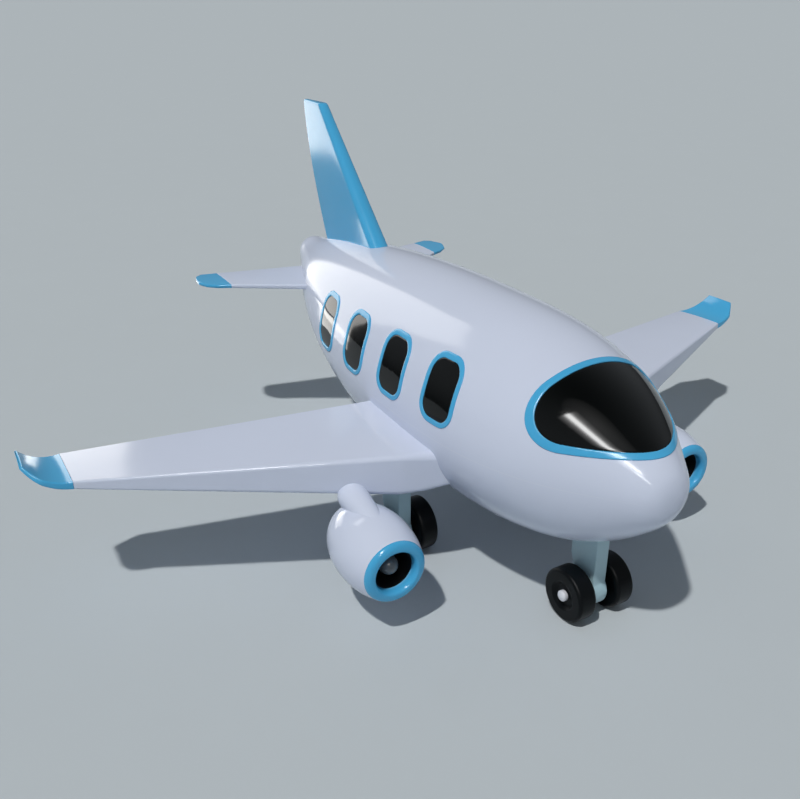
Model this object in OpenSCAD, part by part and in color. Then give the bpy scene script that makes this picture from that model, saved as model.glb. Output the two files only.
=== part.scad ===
// Toy airliner: a hollow two-part body on three fixed legs, each leg with two free wheels.
// X runs to the plane's left, Y to the tail and Z up. The origin is on the ground, on the
// centre plane, halfway between nose and tail. Units are millimetres.

/* [Body] */
// Length of the body, nose to tail
body_len = 224.4; // [222:0.2:227]
// Half the width of the body's widest section
body_half = 35.4; // [35:0.1:35.8]
// Height of the widest section above its axis
body_up = 34.3; // [33.8:0.1:34.8]
// Depth of the widest section below its axis
body_down = 30.2; // [29.8:0.1:30.6]
// Height of that axis above the ground
axis_h = 51.2; // [50.8:0.1:51.6]
// Rise of the axis from the widest section to the tail
tail_rise = 16.4; // [15.8:0.1:17]
// Wall thickness of the moulded shells
wall = 1.8; // [1.5:0.1:2.2]

/* [Windows] */
// Number of windows on each side
window_count = 4; // [1:1:4]
// Distance between neighbouring windows
window_pitch = 26; // [25:0.1:27]
// Width of a window pane
window_w = 12.5; // [10:0.1:13]
// Height of a window pane
window_h = 16.1; // [13:0.1:16.5]
// Corner radius of a window pane
window_corner = 4; // [2:0.1:5]
// Width of the blue frame around a pane
frame_w = 1.6; // [1.2:0.1:2]
// Width of the blue bezel around the windshield
bezel_w = 2.2; // [1.6:0.1:2.8]

/* [Wings] */
// Distance from the centre plane to the blue winglet
wing_reach = 131.2; // [128:0.2:134]
// Distance from the centre plane to the blue tip of the stabilizer
stab_reach = 48; // [46:0.5:50]
// Height of the top of the tail fin above the ground
fin_top = 131; // [124:0.5:134]

/* [Engines] */
// Distance from the centre plane to an engine's axis
engine_x = 57.4; // [56:0.1:59]
// Height of an engine's axis above the ground
engine_h = 22.9; // [22.4:0.1:23.4]
// Largest radius of the nacelle
nacelle_r = 12.3; // [11.8:0.1:12.6]

/* [Landing gear] */
// Radius of the nose wheels
nose_wheel_r = 8.5; // [8:0.1:9]
// Radius of the main wheels
main_wheel_r = 9; // [8.6:0.1:9.4]
// Width of a wheel
wheel_w = 6.4; // [5.6:0.1:7]
// Distance from the centre plane to a main leg
main_leg_x = 35.2; // [34.8:0.1:35.6]
// Radius of the steel axles
axle_r = 1.2; // [1:0.05:1.4]
// Radial clearance of a wheel on its axle
running_fit = 0.05; // [0.03:0.01:0.1]

/* [Hidden] */
$fn = 48;
SIDES = ["right", "left"];
LEGS = ["nose", "right_main", "left_main"];

white = [0.86, 0.88, 0.94];
blue = [0.29, 0.65, 0.85];
black = [0.07, 0.08, 0.09];
strut_grey = [0.45, 0.52, 0.58];
steel = [0.7, 0.72, 0.74];

nose_y = -body_len / 2;
tail_y = body_len / 2;
widest_y = nose_y + 96.6;
nose_rise = 1.7;         // rise of the axis from the widest section to the nose
tip_gap = 0.04;          // the end stations stop this short of the nose and the tail
station_count = 34;
arc_count = 20;          // facets around half a section
panel_gap = 0.05;        // space around pieces that are set into a wall

pane_t = 1.4;
pane_drop = 0.25;        // how far a pane lies below the skin
frame_rise = 0.25;       // how far a frame stands above the skin
window_y = nose_y + 65.6;
window_z = axis_h + 14.4;
window_fall = 0.044;     // the row of windows sinks this much per millimetre towards the tail
window_lean = 0.19;      // sideways lean of a window's top towards the tail, per millimetre
visor_corner = 11.2;
visor_corner_y = nose_y + 23.5;
visor_corner_z = axis_h + 23.9;
visor_station = 11;      // the windshield lies in front of this station

leg_t = 4.8;             // thickness of a strut
wheel_gap = 4.03;        // centre of a leg to the inner face of a wheel
cap_r = 1.75;
dish_depth = 1.3;
nose_leg_y = nose_y + 27.2;
main_leg_y = widest_y - 14.25;

spar_y = widest_y - 24.4;
spar_z = axis_h - 9.7;
spar_r = 2.2;
spar_half = 46;

screw_spots = [[-14, widest_y - 44.5], [14, widest_y - 44.5], [-12, widest_y + 63], [12, widest_y + 63]];
screw_r = 1.5;
screw_head_r = 2.8;
post_r = 4.2;

lip_y = nose_y + 45.8;   // where the blue inlet ring meets the white nacelle
nacelle_len = 31.9;
inlet_r = 6.4;
pylon_back = [engine_x, lip_y + 25.4, axis_h - 16.9];
pylon_front = [engine_x, lip_y + 6.4, axis_h - 20.2];

// ---- the body's shape ----

function along(y) = y < widest_y
    ? (widest_y - y) / (widest_y - nose_y)
    : (y - widest_y) / (tail_y - widest_y);

// How full the section at y is, from 1 at the widest one to 0 at the tips
function fullness(y, power) = let (s = along(y))
    pow(max(0, 1 - pow(s, power)), 1 / (1.2 + 0.8 * pow(s, 20)));

function upper_fullness(y) = fullness(y, y < widest_y ? 3.28 : 2.08);

function lower_fullness(y) = fullness(y, y < widest_y ? 5.16 : 1.57);

function axis_height(y) = axis_h
    + (y < widest_y ? nose_rise * pow(along(y), 2.48) : tail_rise * pow(along(y), 2.05));

function station(i) = -(body_len / 2 - tip_gap) * cos(180 * i / station_count);

// The skin at y, at an angle about the body's axis: an upper and a lower half ellipse
function skin(y, angle) = [
    body_half * upper_fullness(y) * cos(angle),
    y,
    axis_height(y) + sin(angle) * (sin(angle) > 0
        ? body_up * upper_fullness(y)
        : body_down * lower_fullness(y))
];

// A point of the skin at a station and an angle, moved outwards by "out"
function skin_point(y, angle, out) = let (
        half = body_half * upper_fullness(y),
        high = sin(angle) > 0 ? body_up * upper_fullness(y) : body_down * lower_fullness(y),
        round_way = [-half * sin(angle), 0, high * cos(angle)],
        long_way = skin(y + 0.01, angle) - skin(y - 0.01, angle),
        normal = cross(long_way, round_way)
    ) skin(y, angle) + out * normal / norm(normal);

function belly_z(x, y) = axis_height(y) - body_down * lower_fullness(y)
    * sqrt(1 - pow(x / (body_half * upper_fullness(y)), 2));

// ---- general shapes ----

// Triangles of the wall between neighbouring rings of n points that start at index "base"
function wall_faces(base, rings, n, wrapped) = [
    for (i = [0:rings - 2], j = [0:n - (wrapped ? 1 : 2)]) let (
        a = base + i * n + j,
        b = base + i * n + (j + 1) % n
    ) each [[a, b, b + n], [a, b + n, a + n]]
];

function flipped(faces) = [for (f = faces) [f[2], f[1], f[0]]];

function up_to(n) = [for (j = [0:n - 1]) j];

function down_from(n) = [for (j = [n - 1:-1:0]) j];

// A closed solid through a row of rings, each a list of the same number of points
module loft(rings) {
    n = len(rings[0]);
    last = (len(rings) - 1) * n;
    polyhedron(
        points = [for (ring = rings) each ring],
        faces = concat(
            [down_from(n)],
            [[for (j = up_to(n)) last + j]],
            wall_faces(0, len(rings), n, true)
        ),
        convexity = 4
    );
}

// The solid body, grown by "out", between two stations
module body_solid(out = 0, first = 0, last = station_count) {
    n = 2 * arc_count;
    loft([for (i = [first:last]) [for (j = [0:n - 1]) skin_point(station(i), 360 * j / n, out)]]);
}

// Half of the hollow body, from the angle "start" half way round
module half_shell(start) {
    n = arc_count + 1;
    rings = station_count + 1;
    inner = n * rings;
    end = n * station_count;
    angles = [for (j = [0:arc_count]) start + 180 * j / arc_count];
    outer_points = [for (i = [0:station_count], a = angles) skin_point(station(i), a, 0)];
    inner_points = [for (i = [0:station_count], a = angles) skin_point(station(i), a, -wall)];
    edges = [for (i = [0:station_count - 1]) let (a = i * n, b = a + arc_count) each [
        [a, a + n, a + n + inner], [a, a + n + inner, a + inner],
        [b + inner, b + n + inner, b + n], [b + inner, b + n, b]
    ]];
    tips = [
        [0, inner, inner + arc_count], [0, inner + arc_count, arc_count],
        [inner + end, end, end + arc_count], [inner + end, end + arc_count, inner + end + arc_count]
    ];
    polyhedron(
        points = concat(outer_points, inner_points),
        faces = concat(
            wall_faces(0, rings, n, false),
            flipped(wall_faces(inner, rings, n, false)),
            [down_from(n), [for (j = up_to(n)) inner + j]],
            [[for (j = up_to(n)) end + j], [for (j = down_from(n)) inner + end + j]],
            edges,
            tips
        ),
        convexity = 6
    );
}

// A curved plate that follows the skin, from the depth "low" to the height "high"
module skin_plate(ys, angles, low, high) {
    n = len(angles);
    m = len(ys);
    inner = n * m;
    end = n * (m - 1);
    far = n - 1;
    polyhedron(
        points = concat(
            [for (y = ys, a = angles) skin_point(y, a, high)],
            [for (y = ys, a = angles) skin_point(y, a, low)]
        ),
        faces = concat(
            wall_faces(0, m, n, false),
            flipped(wall_faces(inner, m, n, false)),
            [for (i = [0:m - 2]) let (a = i * n, b = a + far) each [
                [a, a + n, a + n + inner], [a, a + n + inner, a + inner],
                [b + inner, b + n + inner, b + n], [b + inner, b + n, b]
            ]],
            [for (j = [0:n - 2]) let (a = j, b = end + j) each [
                [a, a + inner, a + 1 + inner], [a, a + 1 + inner, a + 1],
                [b, b + 1, b + 1 + inner], [b, b + 1 + inner, b + inner]
            ]]
        ),
        convexity = 4
    );
}

// Pushes an outline of the side view (Y, Z) across the whole body
module across(half_width) {
    rotate([90, 0, 90])
        translate([0, 0, -half_width])
            linear_extrude(2 * half_width)
                children();
}

// The same on one side only; the right side is the mirror image of the left
module on_side(side) {
    if (side == "left") children();
    else mirror([1, 0, 0]) children();
}

function window_centre(i) = [
    window_y + (i - 1) * window_pitch,
    window_z - window_fall * (i - 1) * window_pitch
];

module window_outline(i, grow) {
    r = window_corner + grow;
    polygon([for (quarter = [0:3], step = [0:22.5:90]) let (
        angle = 90 * quarter + step,
        y_sign = quarter == 0 || quarter == 3 ? 1 : -1,
        z_sign = quarter < 2 ? 1 : -1,
        y = y_sign * (window_w / 2 - window_corner) + r * cos(angle),
        z = z_sign * (window_h / 2 - window_corner) + r * sin(angle)
    ) window_centre(i) + [y + window_lean * z, z]]);
}

module window_plate(i, low, high) {
    c = window_centre(i)[0];
    reach = window_w / 2 + frame_w + 3;
    skin_plate([for (k = [-3:3]) c + reach * k / 3], [for (a = [3:7:52]) a], low, high);
}

// The windshield in the side view: a leaning back edge, a round corner and a sill that
// rises towards the nose
module visor_outline(grow) {
    r = visor_corner + grow;
    front = nose_y - 1;
    roof = axis_h + body_up + 3;
    polygon(concat(
        [[front, roof], [front, visor_corner_z - visor_corner + 0.7 - 0.45 * grow]],
        [for (a = [-90:7.5:0]) [visor_corner_y + r * cos(a), visor_corner_z + r * sin(a)]],
        [[visor_corner_y + r - 2.6, roof]]
    ));
}

module visor_plate(low, high) {
    difference() {
        body_solid(high, 0, visor_station);
        body_solid(low, 0, visor_station + 1);
    }
}

// ---- wings and tail ----

camber = 0.2;            // how far a rib's top bulges in the middle

// One rib of a wing: a ring of points at x, with a rounded nose and a thin trailing edge.
// It runs from the top over the tail end and along the underside to the front.
function rib(x, front, back, top_front, top_back, low, nose_round, lift = 0) = let (
        chord = back - front,
        thick = top_front - low,
        r_top = nose_round,
        r_low = min(thick - r_top, 0.6 + 0.1 * thick),
        edge = 0.5 + 0.02 * chord
    ) [
        [x, front + 0.55 * chord, (top_front + top_back) / 2 + camber],
        [x, back - 0.4, top_back],
        [x, back, top_back - edge * 0.4],
        [x, back - 0.4, top_back - edge],
        [x, front + 0.55 * chord, low + 0.28 * (top_back - low) + lift],
        for (a = [270:-22.5:180]) [x, front + r_low + r_low * cos(a), low + r_low + r_low * sin(a)],
        for (a = [180:-30:90]) [x, front + r_top + r_top * cos(a), top_front - r_top + r_top * sin(a)]
    ];

root_x = 24;             // the wing runs into the body as far as this
bend_x = 44;             // inboard of this the wing's front edge is rounded off

function wing_rib(x) = rib(
    x,
    lookup(x, [[root_x, widest_y - 37.2], [bend_x, widest_y - 31.5], [wing_reach, widest_y + 5.15]]),
    lookup(x, [[root_x, widest_y + 2.5], [wing_reach, widest_y + 27.2]]),
    lookup(x, [[root_x, axis_h - 4.4], [bend_x, axis_h - 4.2], [wing_reach, axis_h - 5.9]]),
    lookup(x, [[root_x, axis_h - 2.1], [wing_reach, axis_h - 7]]),
    lookup(x, [[root_x, axis_h - 15.8], [36, axis_h - 17.8], [bend_x, axis_h - 18],
        [wing_reach, axis_h - 8.6]]),
    lookup(x, [[root_x, 4], [bend_x, 1.6], [wing_reach, 0.6]])
);

module wing_blade() {
    loft([for (x = [root_x, 28, 32, 36, 40, bend_x, wing_reach]) wing_rib(x)]);
}

module wing(side) {
    color(white)
        on_side(side)
            difference() {
                wing_blade();
                body_solid(panel_gap, 8, 19);
                spar_rod(running_fit);
                strut_box(main_leg_x, main_leg_y, panel_gap, main_strut_top + panel_gap);
                strut_tenon(main_leg_x, panel_gap);
            }
}

// The winglet bends upwards along an arc and grows narrower and thinner
winglet_r = 14;
winglet_bend = 55;

function winglet_ring(angle) = let (
        t = angle / winglet_bend,
        base = rib(0, lookup(t, [[0, widest_y + 5.15], [0.6, widest_y + 6.8], [1, widest_y + 10.6]]),
            lookup(t, [[0, widest_y + 27.2], [1, widest_y + 22.4]]),
            lookup(t, [[0, 0], [1, -0.6]]), lookup(t, [[0, -1.1], [1, -0.6]]),
            lookup(t, [[0, -2.7], [1, -1.7]]), 0.5)
    ) [for (p = base) let (r = winglet_r - p[2])
        [wing_reach + r * sin(angle), p[1], axis_h - 5.9 + winglet_r - r * cos(angle)]];

module winglet(side) {
    color(blue)
        on_side(side)
            loft([for (a = [0:5.5:winglet_bend]) winglet_ring(a)]);
}

stab_root_x = 12;
stab_z = axis_h + 13.8;

function stab_rib(x) = rib(
    x,
    lookup(x, [[stab_root_x, widest_y + 77.3], [stab_reach, widest_y + 98.2],
        [stab_reach + 5, widest_y + 100.2], [stab_reach + 8.5, widest_y + 103],
        [stab_reach + 10.5, widest_y + 107.5]]),
    lookup(x, [[stab_root_x, widest_y + 108.9], [stab_reach, widest_y + 116.6],
        [stab_reach + 6.5, widest_y + 118], [stab_reach + 9, widest_y + 116],
        [stab_reach + 10.5, widest_y + 111.5]]),
    stab_z,
    stab_z,
    stab_z - lookup(x, [[stab_root_x, 2.2], [stab_reach, 1.6], [stab_reach + 10.5, 1.2]]),
    0.55
);

module stabilizer_blade() {
    loft([for (x = [stab_root_x, stab_reach]) stab_rib(x)]);
}

module stabilizer(side) {
    color(white)
        on_side(side)
            stabilizer_blade();
}

module stabilizer_slot() {
    hull()
        for (x = [stab_root_x, 30]) let (rib = stab_rib(x), front = rib[9][1] - panel_gap)
            translate([x - panel_gap, front, stab_z - 2.2 - panel_gap])
                cube([0.1, rib[2][1] + panel_gap - front, 2.2 + camber + 2 * panel_gap]);
}

module stabilizer_tip(side) {
    color(blue)
        on_side(side)
            loft([for (x = [0, 3, 5, 6.5, 7.8, 9, 10, 10.5]) stab_rib(stab_reach + x)]);
}

// One level of the fin: round in front, straight sides, blunt behind
fin_root = axis_h + 18.8;

function fin_ring(z, shrink = 0) = let (
        half = lookup(z, [[axis_h + 28.8, 4], [axis_h + 79.8, 2.1]]) - shrink,
        front = widest_y + 56.7 + 0.99 * (z - axis_h - 28.8) + shrink,
        back = widest_y + 125.6 - 0.0445 * pow(max(0, axis_h + 79.8 - z), 1.5) - shrink,
        edge = 0.9
    ) [
        [0, back, z],
        [edge, back - 0.5, z],
        for (a = [0:-18:-180]) [half * cos(a), front + half + half * sin(a), z + (a == -90 ? 0.4 : 0)],
        [-edge, back - 0.5, z]
    ];

module tail_fin() {
    color(blue)
        union() {
            difference() {
                loft(concat(
                    [for (z = [fin_root:6.1:fin_top - 1]) fin_ring(z)],
                    [fin_ring(fin_top - 0.3, 0.2), fin_ring(fin_top, 0.8)]
                ));
                body_solid(panel_gap, 19, 33);
            }
            for (y = fin_pegs)
                translate([0, y, fin_peg_foot(y)])
                    cylinder(r = 1.8, h = 12);
        }
}

fin_pegs = [widest_y + 72, widest_y + 92];

function fin_peg_foot(y) = skin(y, 90)[2] - 8;

// ---- body pieces ----

module spar_rod(grow = 0) {
    translate([-spar_half - grow, spar_y, spar_z])
        rotate([0, 90, 0])
            cylinder(r = spar_r + grow, h = 2 * (spar_half + grow));
}

module window_cuts() {
    for (side = SIDES, i = [1:window_count])
        on_side(side)
            rotate([90, 0, 90])
                linear_extrude(body_half + 5)
                    window_outline(i, frame_w + panel_gap);
}

module upper_shell() {
    color(white)
        difference() {
            union() {
                half_shell(0);
                intersection() {
                    for (spot = screw_spots)
                        upper_post(spot);
                    body_solid(-wall / 2, 4, 27);
                }
            }
            window_cuts();
            across(body_half + 5) visor_outline(bezel_w + panel_gap);
            for (side = SIDES) on_side(side) stabilizer_slot();
            for (y = fin_pegs)
                translate([0, y, fin_peg_foot(y) - 1])
                    cylinder(r = 1.8 + panel_gap, h = 20);
            for (spot = screw_spots)
                translate([spot[0], spot[1], 0])
                    cylinder(r = screw_r, h = axis_height(spot[1]) + 10);
        }
}

module upper_post(spot) {
    translate([spot[0], spot[1], axis_height(spot[1]) + 0.5])
        cylinder(r = post_r - 0.6, h = body_up);
}

module lower_shell() {
    color(white)
        difference() {
            union() {
                half_shell(180);
                intersection() {
                    for (spot = screw_spots)
                        let (foot = belly_z(spot[0], spot[1]) - 5)
                            translate([spot[0], spot[1], foot])
                                cylinder(r = post_r, h = axis_height(spot[1]) - 0.5 - foot);
                    body_solid(-wall / 2, 4, 27);
                }
            }
            spar_rod(running_fit);
            for (side = SIDES) on_side(side) stabilizer_slot();
            strut_box(0, nose_leg_y, panel_gap, axis_h);
            for (spot = screw_spots)
                translate([spot[0], spot[1], 0]) {
                    cylinder(r = screw_r + 0.2, h = axis_h + 10);
                    cylinder(r = screw_head_r + 0.3, h = screw_seat(spot));
                }
        }
}

function screw_seat(spot) = belly_z(spot[0], spot[1]) + 4.5;

module belly_screws() {
    color(steel)
        for (spot = screw_spots)
            translate([spot[0], spot[1], screw_seat(spot)])
                difference() {
                    union() {
                        translate([0, 0, -1.8]) cylinder(r = screw_head_r, h = 1.8);
                        cylinder(r = screw_r, h = axis_height(spot[1]) + 8 - screw_seat(spot));
                    }
                    for (turn = [0, 90])
                        rotate([0, 0, turn])
                            translate([-1.6, -0.3, -2.8])
                                cube([3.2, 0.6, 2]);
                }
}

module windshield() {
    color(black)
        intersection() {
            visor_plate(-pane_t - pane_drop, -pane_drop / 2);
            across(body_half) visor_outline(0);
        }
}

module windshield_bezel() {
    color(blue)
        intersection() {
            visor_plate(-wall, frame_rise);
            across(body_half + 2)
                difference() {
                    visor_outline(bezel_w);
                    visor_outline(panel_gap);
                }
        }
}

module window_frame(side, i) {
    color(blue)
        on_side(side)
            intersection() {
                window_plate(i, -wall, frame_rise);
                rotate([90, 0, 90])
                    linear_extrude(body_half + 2)
                        difference() {
                            window_outline(i, frame_w);
                            window_outline(i, panel_gap);
                        }
            }
}

module window_pane(side, i) {
    color(black)
        on_side(side)
            intersection() {
                window_plate(i, -pane_t - pane_drop, -pane_drop);
                rotate([90, 0, 90])
                    linear_extrude(body_half + 2)
                        window_outline(i, 0);
            }
}

module wing_spar() {
    color(steel) spar_rod();
}

// ---- engines ----

widest_nacelle = lip_y + 12.4;
back_nacelle = lip_y + nacelle_len;

// Radius of the nacelle's outside at y, less "inset"
function nacelle_radius(y, inset) = let (front_r = 9.85)
    y < widest_nacelle
        ? (nacelle_r - inset) * sqrt(1 - pow((widest_nacelle - y) / (widest_nacelle - lip_y), 2)
            * (1 - pow(front_r / nacelle_r, 2)))
        : (nacelle_r - inset) * sqrt(max(0, 1 - pow((y - widest_nacelle)
            / (back_nacelle - inset - widest_nacelle), 2)));

function nacelle_curve(inset) = concat(
    [for (k = [0:5]) let (y = lip_y + (widest_nacelle - lip_y) * k / 6) [nacelle_radius(y, inset), y]],
    [for (a = [0:7.5:90]) let (y = widest_nacelle + (back_nacelle - inset - widest_nacelle) * sin(a))
        [a == 90 ? 0 : nacelle_radius(y, inset), y]]
);

// Turns an outline of (radius, Y) about the engine's axis
module turned(side) {
    on_side(side)
        translate([engine_x, 0, engine_h])
            rotate([-90, 0, 0])
                rotate_extrude()
                    children();
}

module reversed_outline(points, inner) {
    polygon(concat(points, [for (k = [len(inner) - 1:-1:0]) inner[k]]));
}

socket_r = nacelle_radius(lip_y, 1.4) - panel_gap;
duct_y = lip_y + 1.2;    // where the black duct follows the blue ring

module nacelle(side) {
    color(white)
        turned(side)
            reversed_outline(nacelle_curve(0), nacelle_curve(1.4));
}

module inlet_ring(side) {
    color(blue)
        turned(side)
            polygon(concat(
                [[socket_r, duct_y], [socket_r, lip_y]],
                [for (a = [0:-15:-90]) [7.85 + 2 * cos(a), lip_y + 1.7 * sin(a)]],
                [for (a = [-90:-18:-180]) [7.4 + (7.4 - inlet_r) * cos(a), lip_y + 1.7 * sin(a)]],
                [[inlet_r, duct_y]]
            ));
}

module inlet_duct(side) {
    color(black)
        turned(side)
            polygon(concat(
                [[0, lip_y + 13.5], [socket_r, lip_y + 13.5], [socket_r, duct_y], [inlet_r, duct_y]],
                [for (a = [0:15:90]) [inlet_r - 2.4 + 2.4 * cos(a), lip_y + 9.6 + 2.4 * sin(a)]],
                [[0, lip_y + 12]]
            ));
}

module spinner(side) {
    color(strut_grey)
        turned(side)
            polygon(concat(
                [[0, lip_y + 12], [2.2, lip_y + 12], [2.9, lip_y + 6]],
                [for (a = [0:-10:-90]) [a == -90 ? 0 : 2.9 * cos(a), lip_y + 4 + 3.4 * sin(a)]]
            ));
}

module pylon_finger(grow = 0) {
    hull() {
        translate(pylon_back) sphere(r = 4.7 + grow, $fn = 24);
        translate(pylon_front) sphere(r = 3 + grow, $fn = 24);
    }
}

module pylon(side) {
    color(white)
        on_side(side)
            difference() {
                pylon_finger();
                wing_blade();
                translate([engine_x, 0, engine_h])
                    rotate([-90, 0, 0])
                        rotate_extrude()
                            polygon(concat([[0, lip_y]], nacelle_curve(-panel_gap)));
            }
}

// ---- landing gear ----

function leg_index(leg) = search([leg], LEGS)[0];

function leg_x(leg) = [0, -main_leg_x, main_leg_x][leg_index(leg)];

function leg_y(leg) = leg == "nose" ? nose_leg_y : main_leg_y;

function leg_r(leg) = leg == "nose" ? nose_wheel_r : main_wheel_r;

function leg_front(y) = y - 4.3;

main_strut_top = axis_h - 12.5;
nose_strut_top = axis_h - 17.6;

// The straight upper part of a strut, as a box that can be grown for its socket
module strut_box(x, y, grow, top) {
    translate([x - leg_t / 2 - grow, leg_front(y) - grow, 18])
        cube([leg_t + 2 * grow, 11 + 2 * grow, top - 18]);
}

// The round tenon that holds a main strut in its wing
module strut_tenon(x, grow) {
    translate([x + 1, main_leg_y, main_strut_top - 1])
        cylinder(r = 1.6 + grow, h = 5.5 + grow);
}

module strut(leg) {
    y = leg_y(leg);
    r = leg_r(leg);
    top = leg == "nose" ? nose_strut_top : main_strut_top;
    color(strut_grey)
        difference() {
            union() {
                strut_box(leg_x(leg), y, 0, top);
                translate([leg_x(leg) + leg_t / 2, 0, 0])
                    rotate([90, 0, -90])
                        linear_extrude(leg_t)
                            polygon([[-leg_front(y), 18], [-leg_front(y), r], [-y - 3.6, r],
                                [-leg_front(y) - 11, 18]]);
                translate([leg_x(leg) - leg_t / 2, y, r])
                    rotate([0, 90, 0])
                        cylinder(r = 5.6, h = leg_t);
                if (leg == "nose") strut_flange(y, top);
                if (leg == "right_main") mirror([1, 0, 0]) strut_tenon(main_leg_x, 0);
                if (leg == "left_main") strut_tenon(main_leg_x, 0);
            }
            translate([leg_x(leg), 0, 0])
                axle_rod(y, r, leg_t, 0);
        }
}

module strut_flange(y, top) {
    translate([-leg_t / 2 - 2, leg_front(y) - 1.5, top - 2])
        cube([leg_t + 4, 14, 2]);
}

module axle_rod(y, r, half, grow) {
    translate([-half, y, r])
        rotate([0, 90, 0])
            cylinder(r = axle_r + grow, h = 2 * half);
}

cap_floor = wheel_gap + wheel_w - dish_depth + 0.25;

module axle(leg) {
    color(steel)
        translate([leg_x(leg), 0, 0])
            axle_rod(leg_y(leg), leg_r(leg), cap_floor + 0.8, 0);
}

module hub_caps(leg) {
    color([0.9, 0.91, 0.95])
        for (side = SIDES)
            translate([leg_x(leg), leg_y(leg), leg_r(leg)])
                on_side(side)
                    rotate([0, 90, 0])
                        rotate_extrude()
                            polygon(concat(
                                [[0, cap_floor + 0.8], [axle_r, cap_floor + 0.8], [axle_r, cap_floor],
                                    [cap_r, cap_floor]],
                                [for (a = [0:15:90]) [cap_r * cos(a), cap_floor + 1 + 0.9 * sin(a)]]
                            ));
}

// A wheel whose inner face is at x = 0. A short hub spaces it from the strut, and the outer
// face has a shallow dish for the cap.
module wheel_body(r) {
    rim = 1.1;
    rotate([0, 90, 0])
        rotate_extrude()
            polygon(concat(
                [[axle_r + running_fit, -1.2], [2.7, -1.2], [2.9, 0]],
                [for (a = [-90:22.5:0]) [r - rim + rim * cos(a), rim + rim * sin(a)]],
                [for (a = [0:22.5:90]) [r - rim + rim * cos(a), wheel_w - rim + rim * sin(a)]],
                [[4.6, wheel_w], [4.2, wheel_w - 0.15], [3.2, wheel_w - dish_depth], [axle_r + running_fit,
                    wheel_w - dish_depth]]
            ));
}

module wheel(leg, side) {
    color(black)
        translate([leg_x(leg), leg_y(leg), leg_r(leg)])
            on_side(side)
                translate([wheel_gap, 0, 0])
                    wheel_body(leg_r(leg));
}

// ---- the pieces, one node at a time ----

upper_shell();
lower_shell();
windshield();
windshield_bezel();
wing_spar();
tail_fin();
belly_screws();
for (side = SIDES, i = [1:window_count]) {
    window_frame(side, i);
    window_pane(side, i);
}
for (side = SIDES) {
    wing(side);
    winglet(side);
    stabilizer(side);
    stabilizer_tip(side);
    pylon(side);
    nacelle(side);
    inlet_ring(side);
    inlet_duct(side);
    spinner(side);
}
for (leg = LEGS) {
    strut(leg);
    axle(leg);
    hub_caps(leg);
    wheel(leg, "right");
    wheel(leg, "left");
}
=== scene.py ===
# %% [markdown]
# # A toy airliner in moulded plastic
# This lesson builds the looks of a push-along airliner around its engineering model. The model
# gives every place and size, and each visible piece is made again here with a smooth surface
# and a finish of its own. All shapes are worked out in millimetres and stored in metres.

# %% Tools and the engineering model
import math

import bmesh
import bpy
import numpy as np
from mathutils import Matrix, Vector


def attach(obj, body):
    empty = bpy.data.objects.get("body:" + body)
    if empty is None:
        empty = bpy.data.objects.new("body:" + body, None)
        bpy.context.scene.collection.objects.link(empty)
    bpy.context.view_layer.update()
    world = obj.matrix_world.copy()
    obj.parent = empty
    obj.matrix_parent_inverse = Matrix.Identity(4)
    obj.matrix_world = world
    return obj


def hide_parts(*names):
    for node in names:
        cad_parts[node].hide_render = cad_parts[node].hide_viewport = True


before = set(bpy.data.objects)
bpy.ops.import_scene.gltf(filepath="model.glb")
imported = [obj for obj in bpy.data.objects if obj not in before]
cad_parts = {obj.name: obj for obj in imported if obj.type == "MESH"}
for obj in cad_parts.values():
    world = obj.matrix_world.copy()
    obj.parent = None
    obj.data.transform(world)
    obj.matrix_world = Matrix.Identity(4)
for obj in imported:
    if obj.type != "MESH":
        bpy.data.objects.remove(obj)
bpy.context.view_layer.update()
MM = 0.001
SIDES = {"right": -1, "left": 1}

# %% [markdown]
# ## Writing node trees as expressions
# A material or a Geometry Nodes tree is a chain of small sums. Placing Math nodes by hand is
# slow to read, so one small class wraps a socket: adding, multiplying or raising two of them
# adds the Math node that does it. The other class makes any other node in one call.


# %% A socket that can be used in a sum
class Value:
    def __init__(self, graph, socket):
        self.graph = graph
        self.socket = socket

    def out(self, name):
        return Value(self.graph, self.socket.node.outputs[name])

    def math(self, operation, *others):
        return self.graph.add("ShaderNodeMath", {"operation": operation}, dict(enumerate((self, *others))))

    def __add__(self, other):
        return self.math("ADD", other)

    def __sub__(self, other):
        return self.math("SUBTRACT", other)

    def __mul__(self, other):
        return self.math("MULTIPLY", other)

    def __truediv__(self, other):
        return self.math("DIVIDE", other)

    def __pow__(self, other):
        return self.math("POWER", other)

    def __rsub__(self, other):
        return (self * -1.0) + other

    def __rtruediv__(self, other):
        return (self ** -1.0) * other

    __radd__ = __add__
    __rmul__ = __mul__


class Graph:
    def __init__(self, tree):
        self.tree = tree

    def feed(self, socket, value):
        if isinstance(value, Value):
            self.tree.links.new(value.socket, socket)
        else:
            socket.default_value = value

    def add(self, kind, settings=None, sockets=None, output=0):
        node = self.tree.nodes.new(kind)
        for name, setting in (settings or {}).items():
            setattr(node, name, setting)
        for name, value in (sockets or {}).items():
            self.feed(node.inputs[name], value)
        return Value(self, node.outputs[output]) if len(node.outputs) else node


print("expressions ready")

# %% [markdown]
# ## The rule of the body
# The body is one rule: every section is two half ellipses about an axis that climbs to the
# tail, and a power curve says how full the section is at each place along it. The same Python
# functions work on plain numbers, on arrays and on node sockets, so the Geometry Nodes tree
# of the shells and the windows that lie on them can't disagree.

# %% Sizes of the body
BODY_LENGTH = 224.4
HALF_WIDTH = 35.4
RISE_ABOVE_AXIS = 34.3
DEPTH_BELOW_AXIS = 30.2
AXIS_HEIGHT = 51.2
NOSE_Y = -BODY_LENGTH / 2
TAIL_Y = BODY_LENGTH / 2
WIDEST_Y = NOSE_Y + 96.6
UPPER_POWERS = (3.28, 2.08)
LOWER_POWERS = (5.16, 1.57)
WALL = 1.8


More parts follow.
